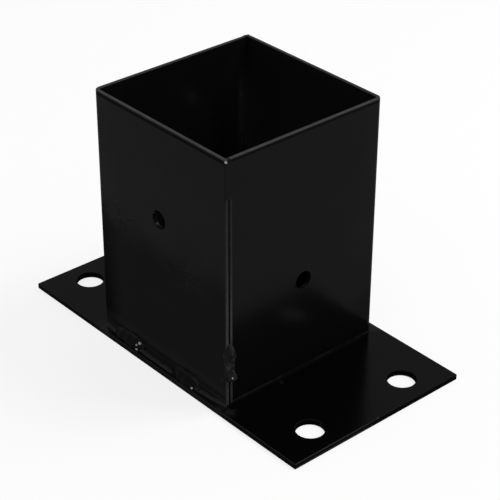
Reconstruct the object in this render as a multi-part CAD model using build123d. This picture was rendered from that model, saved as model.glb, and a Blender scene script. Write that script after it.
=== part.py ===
from build123d import *
import os
from math import sin

# Timber post base: two folded steel angles make a square sleeve, which is welded on a flat plate.
# Millimetres. X runs along the plate, Y across it, Z up. The origin is the middle of the plate's underside.

# Sleeve
post_width = 90.0
post_clearance = 1.0
sheet_thickness = 2.0
inside_bend_radius = 1.5
sleeve_height = 130.0
seam_gap = 1.0
screw_hole_diameter = 9.0
high_screw_height = 80.0
low_screw_height = 50.0

# The sleeve was welded on by hand, a little off the plate's middle
sleeve_shift = -1.0

# Plate
plate_thickness = 3.0
end_flange = 52.5
side_ledge = 5.0
bolt_hole_diameter = 14.0
bolt_end_distance = 15.0
bolt_side_distance = 23.0

# Arrises rounded by the paint, and the broken edges of the drilled holes
sheet_edge_radius = 0.4
plate_edge_radius = 0.4
hole_edge_break = 0.3

# Weld that fills the top of each seam, ground flush with the face
top_weld_length = 20.0

# Lumpy weld low on each seam. Its line lies a little behind the face and beside the seam.
low_weld_height = 23.5
low_weld_length = 22.0
low_weld_radius = 3.0
low_weld_pitch = 5.5
low_weld_inset = 0.7
low_weld_beside = 0.5

# Beads along the foot of the front and back faces, placed from the fold and from the cut end.
# A bead's own line lies behind the face and above the plate.
foot_weld_radius = 5.0
foot_weld_pitch = 6.0
foot_weld_inset = 1.4
foot_weld_lift = 2.2
left_bead_from_fold = 22.5
left_bead_length = 23.0
right_bead_from_end = 29.0
right_bead_length = 20.0

# The lumps of a weld are smaller than its radius by up to a share of it, in a wave that turns this far
# from one lump to the next. The waists and the ends are shares of the radius too. The crest of a lump
# is level over the middle part of its length.
lump_share = 0.14
lump_turn = 2.1
waist_share = 0.8
end_share = 0.55
crest_share = 0.4

# Worked out: the sleeve's half sizes inside and outside. It is longer across, by the gaps of its seams.
inner_x = (post_width + post_clearance) / 2
inner_y = inner_x + seam_gap / 2
outer_x = inner_x + sheet_thickness
outer_y = inner_y + sheet_thickness
middle_x = (inner_x + outer_x) / 2
middle_y = (inner_y + outer_y) / 2
plate_length = 2 * (outer_x + end_flange)
plate_width = 2 * (outer_y + side_ledge)
sleeve_top = plate_thickness + sleeve_height
sleeve_middle = Pos(sleeve_shift, 0, 0)
half_turn = Rot(0, 0, 180)
socket_space = Pos(0, 0, sleeve_top / 2) * Box(2 * inner_x, 2 * inner_y, 2 * sleeve_top)


def edges_at(shape, **place):
    """The edges whose middle has the given coordinates."""
    return shape.edges().filter_by(
        lambda edge: all(abs(getattr(edge.center(), axis) - value) < 0.01 for axis, value in place.items())
    )


def circles(shape, radius):
    """The round edges of one radius."""
    return shape.edges().filter_by(GeomType.CIRCLE).filter_by(lambda edge: abs(edge.radius - radius) < 0.01)


def base_plate():
    """Flat plate with rounded arrises and two bolt holes at each end."""
    plate = Pos(0, 0, plate_thickness / 2) * Box(plate_length, plate_width, plate_thickness)
    plate = fillet(plate.edges(), plate_edge_radius)
    reach = plate_length / 2 - bolt_end_distance
    spread = plate_width / 2 - bolt_side_distance
    drill = Cylinder(bolt_hole_diameter / 2, 3 * plate_thickness)
    for x in (-reach, reach):
        for y in (-spread, spread):
            plate -= Pos(x, y, 0) * drill
    mouths = circles(plate, bolt_hole_diameter / 2)
    return chamfer(edges_at(mouths, Z=plate_thickness), hole_edge_break)


def screw_drill(height):
    """What cuts the screw hole in the front wall at a height above the plate."""
    drill = Rot(90, 0, 0) * Cylinder(screw_hole_diameter / 2, 4 * sheet_thickness)
    return Pos(0, -middle_y, plate_thickness + height) * drill


def sleeve_angle():
    """One folded angle with its fold at the left front corner. Its long leg is the front wall, with a cut end
    flush with the other angle's outside. Its short leg stops a gap before the other angle's long leg."""
    bend_radius = inside_bend_radius + sheet_thickness / 2
    short_end = inner_y - seam_gap
    path = FilletPolyline(
        (outer_x, -middle_y), (-middle_x, -middle_y), (-middle_x, short_end), radius=bend_radius
    )
    angle = Pos(0, 0, plate_thickness) * extrude(trace(path, sheet_thickness), sleeve_height)

    rim = angle.faces().sort_by(Axis.Z)[-1].edges()
    ends = edges_at(angle, X=outer_x, Y=-outer_y) + edges_at(angle, X=outer_x, Y=-inner_y)
    ends += edges_at(angle, X=-outer_x, Y=short_end)
    foot = edges_at(angle, Y=-outer_y, Z=plate_thickness) + edges_at(angle, X=-outer_x, Z=plate_thickness)
    foot += edges_at(angle, Z=plate_thickness).filter_by(
        lambda edge: edge in circles(angle, inside_bend_radius + sheet_thickness)
    )
    angle = fillet(rim + ends + foot, sheet_edge_radius)

    angle -= screw_drill(high_screw_height)
    angle -= Rot(0, 0, -90) * screw_drill(low_screw_height)
    mouths = circles(angle, screw_hole_diameter / 2)
    return chamfer(edges_at(mouths, Y=-outer_y) + edges_at(mouths, X=-outer_x), hole_edge_break)


def lumpy_bead(length, radius, pitch):
    """A bead along X, turned from one wavy outline with uneven lumps."""
    count = max(2, round(length / pitch))
    step = length / count
    left = -length / 2
    rise = (1 - crest_share) / 2 * step
    outline = [(left, 0), (left, end_share * radius)]
    for k in range(count):
        size = radius * (1 - lump_share * (1 + sin(lump_turn * k)) / 2)
        lump = left + k * step
        outline += [(lump + rise, size), (lump + step - rise, size)]
        if k < count - 1:
            outline.append((lump + step, waist_share * size))
    outline += [(-left, end_share * radius), (-left, 0)]
    return revolve(make_face(Polyline(*outline, close=True)), Axis.X)


def foot_weld(place, length, angle):
    """A bead in the corner between the front face and the plate."""
    bead = lumpy_bead(length, foot_weld_radius, foot_weld_pitch)
    bead = Pos(place, foot_weld_inset - outer_y, plate_thickness + foot_weld_lift) * bead
    bead = split(bead, Plane.XY.offset(plate_thickness), Keep.TOP)
    return split(bead, Plane.XZ.offset(middle_y), Keep.TOP) - angle


def low_seam_weld(angles):
    """The lumpy weld low on the near seam, on the right face and level with the front face."""
    bead = Rot(0, 90, 0) * lumpy_bead(low_weld_length, low_weld_radius, low_weld_pitch)
    beside = low_weld_beside + seam_gap / 2 - inner_y
    bead = Pos(outer_x - low_weld_inset, beside, plate_thickness + low_weld_height) * bead
    return split(bead, Plane.XZ.offset(outer_y), Keep.BOTTOM) - angles - socket_space


def top_seam_weld(angles):
    """The ground fill at the top of the near seam."""
    seam = Pos(middle_x, seam_gap / 2 - inner_y, sleeve_top - top_weld_length / 2)
    fill = Box(sheet_thickness, seam_gap + 2 * sheet_edge_radius, top_weld_length)
    return seam * fill - angles


def main():
    """Makes every piece in its place and writes one file for each."""
    left = sleeve_angle()
    right = half_turn * left
    welds = {
        "seam_weld_{}_top": top_seam_weld([left, right]),
        "seam_weld_{}_bottom": low_seam_weld([left, right]),
        "foot_weld_{}_left": foot_weld(left_bead_from_fold - outer_x, left_bead_length, left),
        "foot_weld_{}_right": foot_weld(outer_x - right_bead_from_end, right_bead_length, left),
    }
    pieces = {
        "base_plate": base_plate(),
        "sleeve_angle_left": sleeve_middle * left,
        "sleeve_angle_right": sleeve_middle * right,
    }
    for name, weld in welds.items():
        pieces[name.format("front")] = sleeve_middle * weld
        pieces[name.format("back")] = sleeve_middle * half_turn * weld
    os.makedirs("parts", exist_ok=True)
    for name, piece in pieces.items():
        export_step(piece, os.path.join("parts", name + ".step"))


main()
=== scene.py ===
from math import cos, pi, radians, sin

import bpy
from mathutils import Matrix, Vector


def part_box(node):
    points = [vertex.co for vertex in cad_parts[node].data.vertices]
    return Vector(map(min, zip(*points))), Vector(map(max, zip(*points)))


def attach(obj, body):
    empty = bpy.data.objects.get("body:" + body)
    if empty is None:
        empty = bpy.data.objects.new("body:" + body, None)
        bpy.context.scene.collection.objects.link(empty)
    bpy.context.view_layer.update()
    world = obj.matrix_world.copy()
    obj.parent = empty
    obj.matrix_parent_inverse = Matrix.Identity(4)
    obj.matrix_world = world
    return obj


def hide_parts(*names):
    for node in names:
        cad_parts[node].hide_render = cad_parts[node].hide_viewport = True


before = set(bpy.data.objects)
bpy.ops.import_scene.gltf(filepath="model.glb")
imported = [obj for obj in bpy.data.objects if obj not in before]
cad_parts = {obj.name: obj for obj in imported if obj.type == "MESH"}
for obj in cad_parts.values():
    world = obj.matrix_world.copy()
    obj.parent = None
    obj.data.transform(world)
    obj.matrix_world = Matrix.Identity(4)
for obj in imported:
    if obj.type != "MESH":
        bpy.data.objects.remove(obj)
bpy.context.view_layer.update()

# Timber post base: a welded square sleeve on a flat plate, in black gloss paint.
# Metres. X runs along the plate, Y across it, Z up. The front is towards -Y.

mm = 0.001
scene = bpy.context.scene

# Places read from the frame. The sleeve is two folded angles. The long legs are its front and back walls,
# and the short legs are its end walls, which stop at an open slot before the other angle's long leg.
plate_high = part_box("base_plate")[1]
plate_top = plate_high.z
left_low, left_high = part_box("sleeve_angle_left")
right_low, right_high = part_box("sleeve_angle_right")
sleeve_middle = Vector(((left_low.x + right_high.x) / 2, (left_low.y + right_high.y) / 2, 0))
sleeve_top = left_high.z
front_face = left_low.y
right_face = right_high.x
outer_x = right_face - sleeve_middle.x
outer_y = sleeve_middle.y - front_face
sheet = 2.0 * mm
inner_x = outer_x - sheet
inner_y = outer_y - sheet
long_leg_middle = outer_y - sheet / 2
short_leg_end = sleeve_middle.y - right_low.y
slot_middle = (short_leg_end + inner_y) / 2
top_weld_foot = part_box("seam_weld_front_top")[0].z
half_turn = (
    Matrix.Translation(sleeve_middle) @ Matrix.Rotation(pi, 4, "Z") @ Matrix.Translation(-sleeve_middle)
)

# Screw holes: heights of their middles, and their radius
high_screw_hole = plate_top + 80 * mm
low_screw_hole = plate_top + 50 * mm
screw_hole_radius = 4.5 * mm

# Shapes of the weld beads, as inputs of the bead tree. The ones at the foot bite a little into the wall and
# the plate. The seam's bead is upright: its depth is how far it stands out from the right face, its wall is
# how far it is sunk in it, and its height is half its width.
bead_bite = 0.1 * mm
seam_bead_half = 3.2 * mm
at_foot = {"wall": bead_bite, "floor": -bead_bite, "around": 48, "rings": 90}
foot_bead = {
    **at_foot, "depth": 4.7 * mm, "height": 4.9 * mm, "pitch": 5.5 * mm, "lumps": 0.5, "flat": 0.3,
}
foot_run = {
    **at_foot, "depth": 3.5 * mm, "height": 2.2 * mm, "pitch": 9 * mm, "ripple": 0.02, "lumps": 0.35,
    "flat": 0.9,
}
seam_bead = {
    "wall": 1.5 * mm, "floor": -2 * seam_bead_half, "around": 48, "rings": 90, "depth": 2.3 * mm,
    "height": seam_bead_half, "pitch": 12 * mm, "ripple": 0.16, "lumps": 0.45, "flat": 0.0, "seed": 0.708,
}
drop_bead = {"ripple": 0.08, "lumps": 0.5, "flat": 0.0, "around": 24, "rings": 18}
foot_run_seed = 2.3
foot_run_from_fold = 1.6 * mm
foot_run_past_end = 0.8 * mm
seam_bead_back = 2.4 * mm

# The two beads along each foot: which end, the seed of the bead, the seed of its spatter, and its ripples
foot_beads = (
    ("left", 0.3, 3, 0.05),
    ("right", 0.8, 8, 0.04),
)

# The two long legs: their side, how it is turned from the front, and what is added to the seeds of its beads
# and of its spatter
long_legs = (
    ("front", Matrix.Identity(4), 0.0, 0),
    ("back", half_turn, 0.37, 3),
)

# Spatter: radii of the drops, how many there are, and how far they reach round the beads
spatter_size = {"smallest": 0.12 * mm, "largest": 0.34 * mm}
foot_spatter_count = 12
foot_spatter_beside = 5 * mm
foot_spatter_low = plate_top + 1 * mm
foot_spatter_high = plate_top + 12 * mm
seam_spatter_count = 14
seam_spatter_seed = 5
seam_spatter_near = 2 * mm
seam_spatter_far = 7 * mm
seam_spatter_past = 4 * mm

# Larger drops of weld metal, on and by the front and right faces: place, radius, how long they are for their
# height, and their finish. The bright finish is a painted glint: a light grey that stands in for the lamp's
# glints on these drops.
weld_drops = (
    (Vector((-16.5, -50.0, 6.8)) * mm, 0.85 * mm, 1.0, "bright"),
    (Vector((-18.7, -50.4, 4.9)) * mm, 0.5 * mm, 1.3, "bright"),
    (Vector((-17.3, -51.6, 3.5)) * mm, 0.55 * mm, 1.4, "bright"),
    (Vector((-14.6, -49.6, 3.3)) * mm, 0.5 * mm, 1.3, "dull"),
    (Vector((11.0, -50.2, 4.2)) * mm, 1.6 * mm, 0.9, "dull"),
    (Vector((25.6, -51.7, 3.6)) * mm, 0.6 * mm, 1.0, "bright"),
    (Vector((29.0, -49.9, 3.3)) * mm, 0.6 * mm, 1.2, "dull"),
    (Vector((47.3, -44.4, 18.9)) * mm, 2.2 * mm, 1.0, "patchy"),
    (Vector((49.0, -46.1, 19.4)) * mm, 0.4 * mm, 1.3, "bright"),
    (Vector((44.9, -47.6, 16.6)) * mm, 1.1 * mm, 1.4, "patchy"),
    (Vector((46.6, -47.6, 132.3)) * mm, 0.6 * mm, 1.2, "bright"),
    (Vector((-4.6, -48.0, 85.6)) * mm, 0.5 * mm, 1.5, "dull"),
    (Vector((46.5, -5.1, 51.6)) * mm, 0.45 * mm, 1.5, "dull"),
)

# A drop's length and depth for its radius, and the step of the seeds from drop to drop
drop_length = 2.1
drop_depth = 0.9
drop_seed_step = 0.4

# What all beads share: how blunt their ends are, how far their ripples bow, how fine their lumps are, and
# their size before ripples and lumps, as a share of what is asked for
blunt_power = 3.0
ripple_bow = 0.25
lump_scale = 150.0
even_size = 0.9

# The first keeps a division by zero from the ends of a bead, and the second joins the points that its wall
# and its floor bring together
least_radius = 0.00001
merge_distance = 0.0005 * mm

# Wear is the share of the paint that is gone, from 0 to 1, which shows the lighter grey; the same share also
# paints highlights and light. In a pair of lengths, the first is where a share starts to change, and the
# second is where it has changed. On the plate the lighter grey is a painted highlight on the upper arrises
# and along a line low on the ends, painted light on the ledges beside the sleeve, and worn paint along the
# foot of the end walls.
near_half = (-12 * mm, 2 * mm)
plate_arris = (0.15 * mm, 0.5 * mm)
end_arris_highlight = 0.27
side_arris_highlight = 0.22
low_line_height = 0.8 * mm
low_line_reach = (0.3 * mm, 0.8 * mm)
low_line_highlight = 0.22
# Painted light on the ledges beside the sleeve, lighter to the right and in a patch near the left end
ledge_width = (4 * mm, 6 * mm)
ledge_length = (outer_x - 1 * mm, outer_x + 4 * mm)
ledge_light_left, ledge_light_right = 0.09, 0.17
ledge_light_middle = (-10 * mm, 30 * mm)
ledge_patch_place = -42 * mm
ledge_patch_reach = (2 * mm, 6 * mm)
ledge_patch_light = 0.26
end_foot_reach = (0.2 * mm, 2 * mm)
end_foot_length = (outer_y - 8 * mm, outer_y + 1 * mm)
end_foot_wear = 0.05

# Places on the plate where the paint is rubbed or knocked off: place, radius and wear
plate_marks = (
    (Vector((51.6, -49.9, 3.0)) * mm, 4.2 * mm, 0.20),
    (Vector((49.4, -15.4, 3.0)) * mm, 1.7 * mm, 0.12),
    (Vector((99.7, -0.6, 3.0)) * mm, 1.2 * mm, 0.45),
)

# For a mark's radius: how ragged its outline is, and the part in its middle that is worn in full
mark_raggedness = 1.5
mark_core = 0.1

# Gloss of the plate's hole walls as a share of its top's, and how much more its outer edges have. The lost
# gloss is painted shade on the edges and in the holes.
hole_wall_gloss = 0.1
outer_gloss_near, outer_gloss_far = 0.2, 0.05

# Lighter grey on the sleeve: a painted highlight on its rim and on the cut ends at the seams, painted light
# on the walls of their slots, and a painted highlight and painted light along the foot
long_leg_reach = (0.6 * mm, 1.2 * mm)
rim_highlight_back, rim_highlight_front = 0.42, 0.82
rim_reach = (0.06 * mm, 0.30 * mm)
seam_highlight_low, seam_highlight_high = 0.55, 0.26
seam_highlight_heights = (40 * mm, 118 * mm)
seam_highlight_added_low = 0.45
seam_highlight_added_heights = (35 * mm, 80 * mm)
seam_lip = 0.35 * mm
slot_light_low, slot_light_high = 0.12, 0.6
slot_light_heights = (45 * mm, 70 * mm)
foot_highlight_least, foot_highlight_most = 0.10, 0.30
foot_highlight_heights = (plate_top + 0.6 * mm, plate_top + 2.1 * mm)
foot_line_highlight = 0.34
foot_line_heights = (plate_top + 2.2 * mm, plate_top + 4 * mm)
foot_fill_light = 0.17
foot_fill_heights = (plate_top + 3 * mm, plate_top + 12 * mm)

# Scuffed patches on the front face: place and half size, along X and up
front_scuffs = (
    (-31 * mm, 69 * mm, 18 * mm, 12 * mm),
    (17 * mm, 62 * mm, 18 * mm, 10 * mm),
)
scuff_wear_share = 0.14
scuff_dulling = 0.22

# Painted light on the sleeve's inside, as lighter grey: a painted fill light, a painted pale streak and
# painted light in the corners. There is none at the foot.
inside_light_low, inside_light_high = 0.40, 0.09
inside_light_heights = (60 * mm, 128 * mm)
inside_light_starts = (25 * mm, 50 * mm)
end_wall_reach = (0.3 * mm, 1 * mm)
end_wall_less_light = 0.8
streak_light = 0.42
streak_from_corner = 4 * mm
streak_reach_along = (0.5 * mm, 3.5 * mm)
streak_height = 93 * mm
streak_reach_up = (8 * mm, 26 * mm)
corner_light = 0.10
corner_light_on_end_wall = 0.14
corner_light_reach = (1 * mm, 20 * mm)
corner_light_heights = (92 * mm, 140 * mm)

# Shares of the sleeve's gloss that are lost as painted shade, and two that are gained as painted sheen. By a
# fold, the painted shade low on the long leg is larger. The dark line under the rim, the slot walls and the
# screw holes' walls are also painted shade, made by lost gloss.
lower_shade = 0.47
lower_shade_heights = (52 * mm, 82 * mm)
level_drift = 40 * mm
fold_shade_low, fold_shade_high = 0.5, 0.3
fold_shade_heights = (15 * mm, 60 * mm)
fold_reach = (1 * mm, 19 * mm)
short_leg_shade = 0.35
short_leg_shade_heights = (18 * mm, 42 * mm)
short_leg_fold_start = (26 * mm, 43 * mm)
under_rim_shade = 0.75
under_rim_height_long, under_rim_height_short = sleeve_top - 1.4 * mm, sleeve_top - 1.2 * mm
under_rim_reach_long = (0.5 * mm, 1.1 * mm)
under_rim_reach_short = (0.3 * mm, 0.7 * mm)
slot_shade = 0.9
hole_shade = 0.6
long_leg_sheen = 0.14
long_leg_sheen_heights = (72 * mm, 90 * mm)
short_leg_sheen = 0.12
short_leg_sheen_heights = (40 * mm, 60 * mm)

# Painted highlights on the welds, where the beads meet the walls and along the run's toe, and worn paint on
# the seam's weld
bead_highlight = 0.36
lump_wear_least, lump_wear_most = 0.09, 0.50
toe_highlight_share = 0.46

# Paint: how light its black is, the grey that shows where it is worn and where light is painted, and its
# clear coat
sleeve_black = 0.0030
plate_black = 0.0012
weld_black = 0.0045
worn_and_lit_grey = (0.042, 0.042, 0.041, 1)
under_roughness = 0.35
coat_strength = 0.120
coat_ior = 1.5
coat_roughness = 0.19
weld_coat_roughness = 0.14
corner_gloss = 0.5

# Unevenness of the paint, as noise: how fine it is, how deep, and what it is added to
grain_scale, grain_depth, grain_least = 260.0, 0.9, 0.5
mottle_scale, mottle_depth, mottle_least = 42.0, 0.24, 0.88

# Fine bumps and slow waves of the sprayed coat, and how much deeper the bumps are on the welds
peel_scale, peel_height = 900.0, 0.02
wave_scale, wave_height = 34.0, 0.12
bump_strength = 0.35
bump_distance = 0.6 * mm
weld_peel = 1.5

# Painted glints on the bright drops: a light grey in place of the lamp's glints, darker in patches
glint_dark_grey = (0.10, 0.10, 0.10, 1)
glint_light_grey = (0.50, 0.50, 0.48, 1)
glint_roughness = 0.3

# Camera
view_azimuth = radians(48.740)
view_elevation = radians(31.200)
view_roll = radians(0.238)
view_distance = 791.907 * mm
view_target = Vector((9.147, -0.70, 52.756)) * mm
view_lens = 117.709
sensor_width = 36.0
nearest_seen = 10 * mm

# Studio
floor_size = 6.0
floor_drop = 0.02 * mm
floor_grey = 0.89
floor_glow = 0.8
world_grey = 0.65
key_power = 9.0
key_size = 0.5
key_place = Vector((0.45, 0.55, 1.15))


def feed(tree, target, value):
    """Links a socket into an input, or sets the input to a plain value."""
    if isinstance(value, bpy.types.NodeSocket):
        tree.links.new(value, target)
    else:
        target.default_value = value


def calc(tree, operation, *values):
    """One Math node."""
    node = tree.nodes.new("ShaderNodeMath")
    node.operation = operation
    for target, value in zip(node.inputs, values):
        feed(tree, target, value)
    return node.outputs[0]


def total(tree, first, *others):
    """Some values added."""
    for other in others:
        first = calc(tree, "ADD", first, other)
    return first


def less(tree, value, other):
    """One value without another."""
    return calc(tree, "SUBTRACT", value, other)


def rest(tree, share):
    """What a share leaves of 1."""
    return calc(tree, "SUBTRACT", 1.0, share)


def product(tree, first, *others):
    """Some values multiplied."""
    for other in others:
        first = calc(tree, "MULTIPLY", first, other)
    return first


def highest(tree, first, *others):
    """The largest of some values."""
    for other in others:
        first = calc(tree, "MAXIMUM", first, other)
    return first


def unsigned(tree, value):
    """A value without its sign."""
    return calc(tree, "ABSOLUTE", value)


def gap(tree, value, place):
    """How far a coordinate is from a place."""
    return unsigned(tree, less(tree, value, place))


def near(tree, distance, full, none):
    """1 where a distance is under full, falling to 0 at none."""
    node = tree.nodes.new("ShaderNodeMapRange")
    node.interpolation_type = "SMOOTHSTEP"
    feed(tree, node.inputs["Value"], distance)
    for name, value in (("From Min", full), ("From Max", none), ("To Min", 1.0), ("To Max", 0.0)):
        node.inputs[name].default_value = value
    return node.outputs[0]


def ramp(tree, value, start, end, low=0.0, high=1.0):
    """A soft step from low to high between two places."""
    step = rest(tree, near(tree, value, start, end))
    return total(tree, product(tree, step, high - low), low)


def speckle(tree, place, scale, detail=3.0, roughness=0.55):
    """Noise over the surface, about 0.5."""
    node = tree.nodes.new("ShaderNodeTexNoise")
    node.noise_dimensions = "3D"
    feed(tree, node.inputs["Vector"], place)
    node.inputs["Scale"].default_value = scale
    node.inputs["Detail"].default_value = detail
    node.inputs["Roughness"].default_value = roughness
    return node.outputs[0]


def point(tree, x, y, z):
    """One vector from its three parts."""
    where = tree.nodes.new("ShaderNodeCombineXYZ")
    for target, value in zip(where.inputs, (x, y, z)):
        feed(tree, target, value)
    return where.outputs[0]


def strokes(tree, x, y, z, stretch, scale, detail, roughness, full, none):
    """Thin wandering lines, drawn out along X. They are full and gone this far from the noise's middle."""
    noise = speckle(tree, point(tree, product(tree, x, stretch), y, z), scale, detail, roughness)
    return near(tree, gap(tree, noise, 0.5), full, none)


def marked(tree, x, y, z):
    """The wear of the marks on the plate, which are round with ragged outlines."""
    where = point(tree, x, y, z)
    ragged = less(tree, speckle(tree, where, scale=520.0, detail=2.0), 0.5)
    marks = []
    for place, radius, share in plate_marks:
        away = tree.nodes.new("ShaderNodeVectorMath")
        away.operation = "DISTANCE"
        feed(tree, away.inputs[0], where)
        away.inputs[1].default_value = place
        reach = total(tree, away.outputs["Value"], product(tree, ragged, mark_raggedness * radius))
        marks.append(product(tree, near(tree, reach, mark_core * radius, radius), share))
    return highest(tree, *marks)


def plate_wear_and_light(tree, x, y, z):
    """How much lighter grey the plate's paint shows: painted highlights on the upper arrises and along a line
    low on the ends, painted light on the ledges, and worn paint along the foot of the end walls and in the
    marks. The ends carry their painted highlights on their near half.
    """
    from_end = gap(tree, unsigned(tree, x), plate_high.x)
    from_side = gap(tree, unsigned(tree, y), plate_high.y)
    from_top = gap(tree, z, plate_top)
    on_near_half = near(tree, y, *near_half)
    end_arris = near(tree, highest(tree, from_end, from_top), *plate_arris)
    side_arris = near(tree, highest(tree, from_side, from_top), *plate_arris)
    low_line = near(tree, highest(tree, from_end, gap(tree, z, low_line_height)), *low_line_reach)

    from_middle = gap(tree, x, sleeve_middle.x)
    ledge = near(tree, from_side, *ledge_width)
    beside_sleeve = near(tree, from_middle, *ledge_length)
    ledge_light = ramp(tree, x, *ledge_light_middle, ledge_light_left, ledge_light_right)
    ledge_patch = near(tree, gap(tree, x, ledge_patch_place), *ledge_patch_reach)
    by_end_wall = near(tree, gap(tree, from_middle, outer_x), *end_foot_reach)
    along_end_wall = near(tree, unsigned(tree, y), *end_foot_length)
    return highest(
        tree,
        product(tree, end_arris, on_near_half, end_arris_highlight),
        product(tree, low_line, on_near_half, low_line_highlight),
        product(tree, side_arris, side_arris_highlight),
        product(tree, ledge, beside_sleeve, ledge_light),
        product(tree, ledge, ledge_patch, ledge_patch_light),
        product(tree, by_end_wall, along_end_wall, end_foot_wear),
        marked(tree, x, y, z),
    )


def plate_gloss(tree, x, y, z):
    """The paint's gloss on the plate, lowered as painted shade on the edges and in the holes. Its edges are
    duller than its top, and the holes' walls and the far half of the ends are dullest."""
    from_end = gap(tree, unsigned(tree, x), plate_high.x)
    from_side = gap(tree, unsigned(tree, y), plate_high.y)
    outside = near(tree, calc(tree, "MINIMUM", from_end, from_side), 0.5 * mm, 0.8 * mm)
    added = ramp(tree, y, *near_half, outer_gloss_near, outer_gloss_far)
    edge = total(tree, product(tree, outside, added), hole_wall_gloss)
    on_edge = near(tree, z, plate_top - 0.45 * mm, plate_top - 0.15 * mm)
    return rest(tree, product(tree, on_edge, rest(tree, edge)))


def sleeve_place(tree, x, y):
    """Where a point lies, measured from the sleeve's middle along X and along Y."""
    return less(tree, x, sleeve_middle.x), less(tree, y, sleeve_middle.y)


def towards_seam(tree, u, v):
    """How far a point lies towards the seam of the long leg on its own side."""
    return product(tree, u, calc(tree, "SIGN", v), -1.0)


def on_long_leg(tree, v):
    """1 on the outside of the front and back walls."""
    return near(tree, gap(tree, unsigned(tree, v), outer_y), *long_leg_reach)


def in_slot(tree, v):
    """1 on the walls of the open slot of a seam."""
    return near(tree, gap(tree, unsigned(tree, v), slot_middle), 0.55 * mm, 0.75 * mm)


def scuffed(tree, x, y, z):
    """Where the front face is scuffed by handling."""
    on_front = near(tree, gap(tree, y, front_face), *long_leg_reach)
    patches = []
    for place_x, place_z, reach_x, reach_z in front_scuffs:
        along = calc(tree, "DIVIDE", less(tree, x, place_x), reach_x)
        up = calc(tree, "DIVIDE", less(tree, z, place_z), reach_z)
        away = total(tree, product(tree, along, along), product(tree, up, up))
        patches.append(near(tree, away, 0.1, 1.0))
    return product(tree, highest(tree, *patches), on_front)


def inside_painted_light(tree, x, y, z):
    """Painted light on the sleeve's inside: a lighter grey that stands in for the light that reaches in,
    strongest half way down and in the corners, and a painted pale streak beside the slots of the seams."""
    u, v = sleeve_place(tree, x, y)
    across, depth = unsigned(tree, u), unsigned(tree, v)
    between_ends = near(tree, across, inner_x + 0.1 * mm, inner_x + 0.4 * mm)
    between_long_legs = near(tree, depth, inner_y + 0.1 * mm, inner_y + 0.4 * mm)
    end_wall = near(tree, gap(tree, across, inner_x), *end_wall_reach)
    off_the_foot = ramp(tree, z, *inside_light_starts)

    fill_share = product(
        tree, ramp(tree, z, *inside_light_heights, inside_light_low, inside_light_high), off_the_foot,
        rest(tree, product(tree, end_wall, end_wall_less_light)),
    )
    seam_wall = near(tree, gap(tree, towards_seam(tree, u, v), inner_x), *end_wall_reach)
    pale_streak = product(
        tree, seam_wall, near(tree, gap(tree, depth, inner_y - streak_from_corner), *streak_reach_along),
        near(tree, gap(tree, z, streak_height), *streak_reach_up), streak_light,
    )
    from_corner = highest(tree, gap(tree, across, inner_x), gap(tree, depth, inner_y))
    corner_streak = product(
        tree, near(tree, from_corner, *corner_light_reach), off_the_foot, near(tree, z, *corner_light_heights),
        total(tree, product(tree, end_wall, corner_light_on_end_wall), corner_light),
    )
    return product(tree, between_ends, between_long_legs, total(tree, fill_share, pale_streak, corner_streak))


def rim_highlight(tree, u, v, z):
    """Painted highlight on the rim, most on the front wall and the right end wall."""
    facing = ramp(tree, less(tree, u, v), -6 * mm, 6 * mm, rim_highlight_back, rim_highlight_front)
    return product(tree, near(tree, gap(tree, z, sleeve_top), *rim_reach), facing)


def seam_highlight(tree, u, v, z):
    """Painted highlight on the long legs' cut ends and the short legs' lips, and painted light on the walls
    of the slots between them.
    """
    side, depth = towards_seam(tree, u, v), unsigned(tree, v)
    on_face = near(tree, gap(tree, side, outer_x), 0.3 * mm, 0.7 * mm)
    cut_end = near(tree, gap(tree, depth, long_leg_middle), 0.6 * mm, 1.1 * mm)
    lip = near(tree, gap(tree, depth, short_leg_end - seam_lip), 0.3 * mm, 0.9 * mm)
    share = total(
        tree, ramp(tree, z, *seam_highlight_added_heights, seam_highlight_added_low, 0.0),
        ramp(tree, z, *seam_highlight_heights, seam_highlight_low, seam_highlight_high),
    )
    below_weld = near(tree, z, top_weld_foot - 1 * mm, top_weld_foot + 1 * mm)
    edges = product(tree, on_face, highest(tree, cut_end, lip), share, below_weld)
    by_mouth = ramp(tree, side, outer_x - 1.7 * mm, outer_x - 0.9 * mm)
    slot_share = ramp(tree, z, *slot_light_heights, slot_light_low, slot_light_high)
    return highest(tree, edges, product(tree, in_slot(tree, v), by_mouth, slot_share))


def foot_painted_light(tree, x, y, z, long_leg):
    """Painted light along the sleeve's foot: a blotchy painted highlight all round, and on the long legs a
    painted highlight line and a painted fill light that lifts the shade above the run.
    """
    noise = speckle(tree, point(tree, x, y, z), scale=120.0, detail=2.0)
    blotch = ramp(tree, noise, 0.40, 0.60, foot_highlight_least, foot_highlight_most)
    foot = product(tree, near(tree, z, *foot_highlight_heights), blotch)
    line = product(tree, near(tree, z, *foot_line_heights), long_leg, foot_line_highlight)
    fill_lift = product(tree, near(tree, z, *foot_fill_heights), long_leg, foot_fill_light)
    return highest(tree, foot, line, fill_lift)


def sleeve_wear_and_light(tree, x, y, z):
    """How much lighter grey the sleeve's paint shows: painted highlights and painted light on the rim, the
    seams, the foot and the inside, and worn paint in the scuffs on the front face.
    """
    u, v = sleeve_place(tree, x, y)
    scratches = strokes(
        tree, x, y, z, stretch=0.4, scale=110.0, detail=3.0, roughness=0.6, full=0.0, none=0.016
    )
    return highest(
        tree,
        rim_highlight(tree, u, v, z),
        seam_highlight(tree, u, v, z),
        foot_painted_light(tree, x, y, z, on_long_leg(tree, v)),
        product(tree, scratches, scuffed(tree, x, y, z), scuff_wear_share),
        inside_painted_light(tree, x, y, z),
    )


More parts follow.
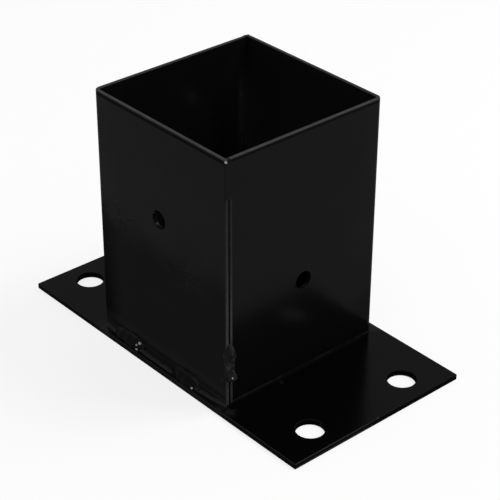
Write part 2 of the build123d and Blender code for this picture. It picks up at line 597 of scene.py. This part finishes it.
def hole_wall(tree, along, z, height):
    """1 on the wall of the screw holes at a height."""
    up = less(tree, z, height)
    out = calc(tree, "SQRT", total(tree, product(tree, along, along), product(tree, up, up)))
    return near(tree, gap(tree, out, screw_hole_radius), 0.15 * mm, 0.35 * mm)


def under_rim_shade_line(tree, z, long_leg, short_leg):
    """The painted dark line under the rim, made by lost gloss, which is narrower on the short legs."""
    wide = near(tree, gap(tree, z, under_rim_height_long), *under_rim_reach_long)
    narrow = near(tree, gap(tree, z, under_rim_height_short), *under_rim_reach_short)
    return total(
        tree, product(tree, wide, long_leg, under_rim_shade), product(tree, narrow, short_leg, under_rim_shade)
    )


def sleeve_gloss_and_shade(tree, x, y, z):
    """The paint's gloss on the sleeve, lowered for painted shade and raised for painted sheen. The lower half
    of the long legs is duller, most by the folds, and so is the short legs' foot by the folds. Above both,
    the paint by the folds is glossier. The line under the rim, the slot walls and the screw holes' walls are
    duller as painted shade, and the scuffs are duller paint."""
    u, v = sleeve_place(tree, x, y)
    side = towards_seam(tree, u, v)
    long_leg = on_long_leg(tree, v)
    short_leg = rest(tree, long_leg)
    by_fold = near(tree, total(tree, side, outer_x), *fold_reach)
    drift = less(tree, speckle(tree, point(tree, x, y, z), scale=22.0, detail=2.0), 0.5)
    level = total(tree, z, product(tree, drift, level_drift))
    more_shade_by_fold = ramp(tree, z, *fold_shade_heights, fold_shade_low, fold_shade_high)
    shade_share = total(tree, product(tree, by_fold, more_shade_by_fold), lower_shade)
    lower = product(tree, near(tree, level, *lower_shade_heights), shade_share, long_leg)

    short_by_fold = ramp(tree, product(tree, v, calc(tree, "SIGN", u)), *short_leg_fold_start)
    low_down = near(tree, z, *short_leg_shade_heights)
    short_foot = product(tree, low_down, short_by_fold, short_leg, short_leg_shade)
    sheen = highest(
        tree, product(tree, by_fold, long_leg, ramp(tree, z, *long_leg_sheen_heights), long_leg_sheen),
        product(tree, short_by_fold, short_leg, ramp(tree, z, *short_leg_sheen_heights), short_leg_sheen),
    )
    slot = product(tree, in_slot(tree, v), ramp(tree, side, inner_x - 0.3 * mm, inner_x), slot_shade)
    drilled = highest(tree, hole_wall(tree, u, z, high_screw_hole), hole_wall(tree, v, z, low_screw_hole))
    rubs = strokes(tree, x, y, z, stretch=0.6, scale=190.0, detail=2.0, roughness=0.5, full=0.01, none=0.06)
    lost = (
        lower,
        under_rim_shade_line(tree, z, long_leg, short_leg),
        slot,
        short_foot,
        product(tree, drilled, hole_shade),
        product(tree, rubs, scuffed(tree, x, y, z), scuff_dulling),
    )
    return product(tree, total(tree, sheen, 1.0), *(rest(tree, share) for share in lost))


def weld_wall_highlight(tree, x, y, z):
    """Painted highlight on the beads, as lighter grey: most where they meet the walls."""
    v = sleeve_place(tree, x, y)[1]
    at_wall = near(tree, gap(tree, unsigned(tree, v), outer_y + 0.1 * mm), 0.4 * mm, 1.5 * mm)
    return product(tree, at_wall, bead_highlight)


def lump_wear(tree, x, y, z):
    """How thin the paint is on the lumpy weld of the seam: in patches all over."""
    patch = speckle(tree, point(tree, x, y, z), scale=300.0, detail=2.0)
    return ramp(tree, patch, 0.44, 0.66, lump_wear_least, lump_wear_most)


def toe_highlight(tree, x, y, z):
    """Painted highlight on the run along the foot, as lighter grey: only along its toe."""
    return product(tree, near(tree, z, plate_top + 0.5 * mm, plate_top + 1.3 * mm), toe_highlight_share)


def low_gloss(tree, x, y, z):
    """The gloss of paint that lies thick in a corner."""
    return corner_gloss


def even_gloss(tree, x, y, z):
    """The same gloss all over."""
    return 1.0


def mix_colours(tree, share, first, second):
    """The first colour, moved to the second by a share."""
    mix = tree.nodes.new("ShaderNodeMix")
    mix.data_type = "RGBA"
    feed(tree, mix.inputs["Factor"], share)
    mix.inputs["A"].default_value = first
    mix.inputs["B"].default_value = second
    return mix.outputs["Result"]


def new_material(name):
    """A material, its node tree, its shader and the place on the object."""
    material = bpy.data.materials.new(name)
    material.use_nodes = True
    tree = material.node_tree
    place = tree.nodes.new("ShaderNodeTexCoord").outputs["Object"]
    return material, tree, tree.nodes["Principled BSDF"], place


def orange_peel(tree, place, depth):
    """The fine bumps and the slow waves of sprayed paint."""
    peel = product(tree, speckle(tree, place, peel_scale, detail=2.0), peel_height * depth)
    wave = product(tree, speckle(tree, place, wave_scale, detail=1.0), wave_height)
    bump = tree.nodes.new("ShaderNodeBump")
    bump.inputs["Strength"].default_value = bump_strength
    bump.inputs["Distance"].default_value = bump_distance
    feed(tree, bump.inputs["Height"], total(tree, peel, wave))
    return bump.outputs["Normal"]


def paint(name, wear_and_light, gloss=even_gloss, black=sleeve_black, roughness=coat_roughness, peel_depth=1.0):
    """Black gloss paint over steel, lighter grey where it is worn and where highlights and light are painted.
    """
    material, tree, shader, place = new_material(name)
    split = tree.nodes.new("ShaderNodeSeparateXYZ")
    tree.links.new(place, split.inputs[0])
    grain = total(tree, product(tree, speckle(tree, place, grain_scale), grain_depth), grain_least)
    # The lighter grey share here is worn paint and painted light together.
    thin = product(tree, wear_and_light(tree, *split.outputs), grain)
    colour = mix_colours(tree, thin, (black, black, black, 1), worn_and_lit_grey)
    tree.links.new(colour, shader.inputs["Base Color"])
    shader.inputs["Roughness"].default_value = under_roughness
    shader.inputs["Specular IOR Level"].default_value = 0.0

    mottle = total(tree, product(tree, speckle(tree, place, mottle_scale), mottle_depth), mottle_least)
    coat = product(tree, gloss(tree, *split.outputs), mottle, coat_strength)
    feed(tree, shader.inputs["Coat Weight"], coat)
    shader.inputs["Coat Roughness"].default_value = roughness
    shader.inputs["Coat IOR"].default_value = coat_ior
    normal = orange_peel(tree, place, peel_depth)
    tree.links.new(normal, shader.inputs["Normal"])
    tree.links.new(normal, shader.inputs["Coat Normal"])
    return material


def painted_glint_grey():
    """Painted glints: a light grey that stands in for the lamp's glints on the drops, darker in patches."""
    material, tree, shader, place = new_material("painted glint grey")
    patches = speckle(tree, place, scale=700.0, detail=2.0)
    tree.links.new(mix_colours(tree, patches, glint_dark_grey, glint_light_grey), shader.inputs["Base Color"])
    shader.inputs["Roughness"].default_value = glint_roughness
    return material


def dress(piece, material):
    """Gives a piece one material."""
    piece.data.materials.clear()
    piece.data.materials.append(material)


def paint_the_steel():
    """Paints the CAD pieces."""
    plate = paint("plate paint", plate_wear_and_light, plate_gloss, black=plate_black)
    sleeve = paint("sleeve paint", sleeve_wear_and_light, sleeve_gloss_and_shade)
    # The filled seam carries the same painted light as the sleeve's inside.
    filled = paint("filled seam paint", inside_painted_light)
    for name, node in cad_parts.items():
        if name == "base_plate":
            dress(node, plate)
        elif name.startswith("sleeve_angle"):
            dress(node, sleeve)
        else:
            dress(node, filled)


def new_tree(name, **inputs):
    """An empty node tree with named inputs, and its two ends."""
    tree = bpy.data.node_groups.new(name, "GeometryNodeTree")
    for label, kind in inputs.items():
        tree.interface.new_socket(name=label, in_out="INPUT", socket_type="NodeSocket" + kind)
    tree.interface.new_socket(name="Geometry", in_out="OUTPUT", socket_type="NodeSocketGeometry")
    given = tree.nodes.new("NodeGroupInput").outputs
    return tree, given, tree.nodes.new("NodeGroupOutput").inputs[0]


def finish_tree(tree, mesh, material, end):
    """Makes what a tree has grown real and smooth, and gives it one material."""
    smooth = tree.nodes.new("GeometryNodeSetShadeSmooth")
    real = tree.nodes.new("GeometryNodeRealizeInstances")
    painted = tree.nodes.new("GeometryNodeSetMaterial")
    tree.links.new(mesh, smooth.inputs["Geometry"])
    tree.links.new(smooth.outputs["Geometry"], real.inputs["Geometry"])
    tree.links.new(real.outputs["Geometry"], painted.inputs["Geometry"])
    tree.links.new(material, painted.inputs["Material"])
    tree.links.new(painted.outputs["Geometry"], end)


def flattened(tree, value, flat):
    """A side of the round section, moved by flat towards that of a straight slope."""
    pull = total(tree, product(tree, less(tree, unsigned(tree, value), 1.0), flat), 1.0)
    return product(tree, value, pull)


def bead_tree():
    """A weld bead along X with ripples and uneven lumps, made from a ball whose poles are its ends. It stops
    at the wall, a plane across Y, and at the floor, a plane across Z. Its section is round where flat is 0,
    and a straight slope where flat is 1."""
    tree, given, end = new_tree(
        "weld bead", length="Float", depth="Float", height="Float", wall="Float", floor="Float",
        pitch="Float", ripple="Float", lumps="Float", flat="Float", seed="Float", around="Int", rings="Int",
        paint="Material",
    )
    ball = tree.nodes.new("GeometryNodeMeshUVSphere")
    tree.links.new(given["around"], ball.inputs["Segments"])
    tree.links.new(given["rings"], ball.inputs["Rings"])
    ball.inputs["Radius"].default_value = 1.0
    split = tree.nodes.new("ShaderNodeSeparateXYZ")
    tree.links.new(tree.nodes.new("GeometryNodeInputPosition").outputs[0], split.inputs[0])
    x, y, z = split.outputs

    # Where the point lies along the bead, and to which side
    turn = calc(tree, "ARCCOSINE", calc(tree, "MAXIMUM", calc(tree, "MINIMUM", z, 1.0), -1.0))
    share = rest(tree, product(tree, turn, 2 / pi))
    along = product(tree, share, product(tree, given["length"], 0.5))
    from_axis = calc(tree, "SQRT", total(tree, product(tree, x, x), product(tree, y, y)))
    radius = highest(tree, from_axis, least_radius)
    out = flattened(tree, calc(tree, "DIVIDE", x, radius), given["flat"])
    up = flattened(tree, calc(tree, "DIVIDE", y, radius), given["flat"])

    # How thick the bead is there: its blunt ends, bowed ripples and lumps
    blunt = calc(tree, "POWER", unsigned(tree, share), blunt_power)
    taper = calc(tree, "SQRT", highest(tree, rest(tree, blunt), 0.0))
    bow = product(tree, out, up, ripple_bow)
    phase = total(tree, calc(tree, "DIVIDE", along, given["pitch"]), bow, given["seed"])
    wave = product(tree, calc(tree, "SINE", product(tree, phase, 2 * pi)), given["ripple"])
    side_out, side_up = product(tree, out, given["depth"]), product(tree, up, given["height"])
    where = point(tree, total(tree, along, given["seed"]), side_out, side_up)
    noise = less(tree, speckle(tree, where, lump_scale, detail=1.5), 0.5)
    uneven = product(tree, noise, given["lumps"])
    thickness = product(tree, total(tree, wave, uneven, even_size), taper)

    depth = calc(tree, "MINIMUM", product(tree, side_out, thickness), given["wall"])
    height = calc(tree, "MAXIMUM", product(tree, side_up, thickness), given["floor"])
    place = tree.nodes.new("GeometryNodeSetPosition")
    tree.links.new(ball.outputs["Mesh"], place.inputs["Geometry"])
    tree.links.new(point(tree, along, depth, height), place.inputs["Position"])
    joined = tree.nodes.new("GeometryNodeMergeByDistance")
    joined.inputs["Distance"].default_value = merge_distance
    tree.links.new(place.outputs["Geometry"], joined.inputs["Geometry"])
    finish_tree(tree, joined.outputs["Geometry"], given["paint"], end)
    return tree


def spatter_tree():
    """Small round drops of weld metal, scattered in a flat region."""
    tree, given, end = new_tree(
        "weld spatter", count="Int", low="Vector", high="Vector", smallest="Float", largest="Float",
        seed="Int", paint="Material",
    )
    drop = tree.nodes.new("GeometryNodeMeshIcoSphere")
    drop.inputs["Radius"].default_value = 1.0
    drop.inputs["Subdivisions"].default_value = 2
    where = tree.nodes.new("FunctionNodeRandomValue")
    where.data_type = "FLOAT_VECTOR"
    tree.links.new(given["low"], where.inputs[0])
    tree.links.new(given["high"], where.inputs[1])
    tree.links.new(given["seed"], where.inputs["Seed"])
    size = tree.nodes.new("FunctionNodeRandomValue")
    size.data_type = "FLOAT"
    tree.links.new(given["smallest"], size.inputs[2])
    tree.links.new(given["largest"], size.inputs[3])
    tree.links.new(given["seed"], size.inputs["Seed"])
    points = tree.nodes.new("GeometryNodePoints")
    tree.links.new(given["count"], points.inputs["Count"])
    tree.links.new(where.outputs[0], points.inputs["Position"])
    drops = tree.nodes.new("GeometryNodeInstanceOnPoints")
    tree.links.new(points.outputs[0], drops.inputs["Points"])
    tree.links.new(drop.outputs["Mesh"], drops.inputs["Instance"])
    tree.links.new(size.outputs[1], drops.inputs["Scale"])
    finish_tree(tree, drops.outputs["Instances"], given["paint"], end)
    return tree


def grow(name, tree, turns, values):
    """The plain piece that a tree makes from its named inputs, set in its place."""
    start = bpy.data.objects.new(name, bpy.data.meshes.new(name))
    scene.collection.objects.link(start)
    modifier = start.modifiers.new("growth", "NODES")
    modifier.node_group = tree
    for item in tree.interface.items_tree:
        if item.in_out == "INPUT":
            modifier[item.identifier] = values[item.name]
    mesh = bpy.data.meshes.new_from_object(start.evaluated_get(bpy.context.evaluated_depsgraph_get()))
    bpy.data.objects.remove(start)
    mesh.transform(turns)
    piece = bpy.data.objects.new(name, mesh)
    scene.collection.objects.link(piece)
    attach(piece, "root")
    return piece


def make_foot_bead(bead, spatter, weld, long_leg, foot):
    """One bead at the foot of a long leg, with its spatter."""
    side, turn, shift, spatter_shift = long_leg
    end, seed, spatter_seed, ripple = foot
    low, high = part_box("foot_weld_front_" + end)
    place = turn @ Matrix.Translation(((low.x + high.x) / 2, front_face, plate_top))
    piece = grow(f"foot_bead_{side}_{end}", bead, place, {
        **foot_bead, "length": high.x - low.x, "ripple": ripple, "seed": seed + shift, "paint": weld,
    })
    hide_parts(f"foot_weld_{side}_{end}")
    grow(f"foot_spatter_{side}_{end}", spatter, turn, {
        **spatter_size, "count": foot_spatter_count, "seed": spatter_seed + spatter_shift, "paint": weld,
        "low": (low.x - foot_spatter_beside, front_face, foot_spatter_low),
        "high": (high.x + foot_spatter_beside, front_face, foot_spatter_high),
    })


def make_foot_run(bead, corner, long_leg):
    """The thin run of weld along the whole foot of a long leg."""
    side, turn, shift, _ = long_leg
    start = left_low.x + foot_run_from_fold
    end = right_face + foot_run_past_end
    place = turn @ Matrix.Translation(((start + end) / 2, front_face, plate_top))
    grow(f"foot_run_{side}", bead, place, {
        **foot_run, "length": end - start, "seed": foot_run_seed + shift, "paint": corner,
    })


def make_seam_bead(bead, spatter, weld, seam_weld, long_leg):
    """The lumpy weld low on a seam, with its spatter. Its length runs down, and it stands out along X."""
    side, turn, _, spatter_shift = long_leg
    low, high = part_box("seam_weld_front_bottom")
    middle = Vector((right_face, front_face + seam_bead_back, (low.z + high.z) / 2))
    upright = Matrix(((0, -1, 0, middle.x), (0, 0, 1, middle.y), (-1, 0, 0, middle.z), (0, 0, 0, 1)))
    piece = grow(f"seam_bead_{side}", bead, turn @ upright, {
        **seam_bead, "length": high.z - low.z, "paint": seam_weld,
    })
    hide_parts(f"seam_weld_{side}_bottom")
    grow(f"seam_spatter_{side}", spatter, turn, {
        **spatter_size, "count": seam_spatter_count, "seed": seam_spatter_seed + spatter_shift, "paint": weld,
        "low": (right_face, low.y + seam_spatter_near, low.z - seam_spatter_past),
        "high": (right_face, high.y + seam_spatter_far, high.z + seam_spatter_past),
    })


def make_drops(bead, finishes):
    """The larger drops of weld metal, each a short bead with its wall and floor at its radius."""
    for count, (place, radius, stretch, finish) in enumerate(weld_drops):
        grow(f"weld_drop_{count + 1}", bead, Matrix.Translation(place), {
            **drop_bead, "wall": radius, "floor": -radius, "length": drop_length * radius * stretch,
            "depth": drop_depth * radius, "height": radius, "pitch": 2 * radius,
            "seed": drop_seed_step * count, "paint": finishes[finish],
        })


def make_welds():
    """Uneven hand-laid beads in place of the plain ones, with a little spatter round them."""
    bead, spatter = bead_tree(), spatter_tree()
    thick = {"black": weld_black, "roughness": weld_coat_roughness, "peel_depth": weld_peel}
    weld = paint("weld paint", weld_wall_highlight, low_gloss, **thick)
    seam_weld = paint("seam weld paint", lump_wear, low_gloss, **thick)
    corner = paint("corner paint", toe_highlight, low_gloss)
    # The bright finish is the painted glint.
    finishes = {"bright": painted_glint_grey(), "dull": weld, "patchy": seam_weld}
    for long_leg in long_legs:
        for foot in foot_beads:
            make_foot_bead(bead, spatter, weld, long_leg, foot)
        make_foot_run(bead, corner, long_leg)
        make_seam_bead(bead, spatter, weld, seam_weld, long_leg)
    make_drops(bead, finishes)


def seen_share(tree, share):
    """A share where the camera, a reflection or a clear piece sees the surface, and 0 elsewhere."""
    rays = tree.nodes.new("ShaderNodeLightPath").outputs
    seen = highest(tree, rays["Is Camera Ray"], rays["Is Glossy Ray"], rays["Is Transmission Ray"])
    return product(tree, seen, share)


def make_floor():
    """A plain pale floor, which keeps the object's shadow."""
    half = floor_size / 2
    corners = [(-half, -half, 0), (half, -half, 0), (half, half, 0), (-half, half, 0)]
    mesh = bpy.data.meshes.new("floor")
    mesh.from_pydata(corners, [], [(0, 1, 2, 3)])
    floor = bpy.data.objects.new("floor", mesh)
    scene.collection.objects.link(floor)
    floor.location.z = -floor_drop

    material = bpy.data.materials.new("pale floor")
    material.use_nodes = True
    tree = material.node_tree
    tree.nodes.remove(tree.nodes["Principled BSDF"])
    matt = tree.nodes.new("ShaderNodeBsdfDiffuse")
    matt.inputs["Color"].default_value = (floor_grey, floor_grey, floor_grey, 1)
    white = tree.nodes.new("ShaderNodeEmission")
    white.inputs["Strength"].default_value = 1.0
    mix = tree.nodes.new("ShaderNodeMixShader")
    feed(tree, mix.inputs[0], seen_share(tree, floor_glow))
    tree.links.new(matt.outputs[0], mix.inputs[1])
    tree.links.new(white.outputs[0], mix.inputs[2])
    tree.links.new(mix.outputs[0], tree.nodes["Material Output"].inputs["Surface"])
    floor.data.materials.append(material)


def make_world():
    """White where it is seen, and a plain soft light on the object."""
    world = bpy.data.worlds.new("studio")
    scene.world = world
    world.use_nodes = True
    tree = world.node_tree
    background = tree.nodes["Background"].inputs
    background["Color"].default_value = (1, 1, 1, 1)
    feed(tree, background["Strength"], highest(tree, seen_share(tree, 1.0), world_grey))


def make_key_lamp():
    """A square soft lamp behind the object, turned to it."""
    lamp = bpy.data.objects.new("key lamp", bpy.data.lights.new("key lamp", "AREA"))
    lamp.data.shape = "SQUARE"
    lamp.data.size = key_size
    lamp.data.energy = key_power
    lamp.location = key_place
    lamp.rotation_mode = "QUATERNION"
    lamp.rotation_quaternion = (view_target - key_place).to_track_quat("-Z", "Y")
    scene.collection.objects.link(lamp)


def make_camera():
    """The camera at the photograph's angle."""
    camera = bpy.data.objects.new("camera", bpy.data.cameras.new("camera"))
    camera.data.sensor_width = sensor_width
    camera.data.lens = view_lens
    camera.data.clip_start = nearest_seen
    back = Vector((
        sin(view_azimuth) * cos(view_elevation),
        -cos(view_azimuth) * cos(view_elevation),
        sin(view_elevation),
    ))
    level = Vector((cos(view_azimuth), sin(view_azimuth), 0))
    upright = back.cross(level)
    right = level * cos(view_roll) + upright * sin(view_roll)
    camera.location = view_target + back * view_distance
    camera.rotation_mode = "QUATERNION"
    camera.rotation_quaternion = Matrix((right, back.cross(right), back)).transposed().to_quaternion()
    scene.collection.objects.link(camera)
    scene.camera = camera


paint_the_steel()
make_welds()
make_floor()
make_world()
make_key_lamp()
make_camera()
scene.view_settings.view_transform = "Standard"
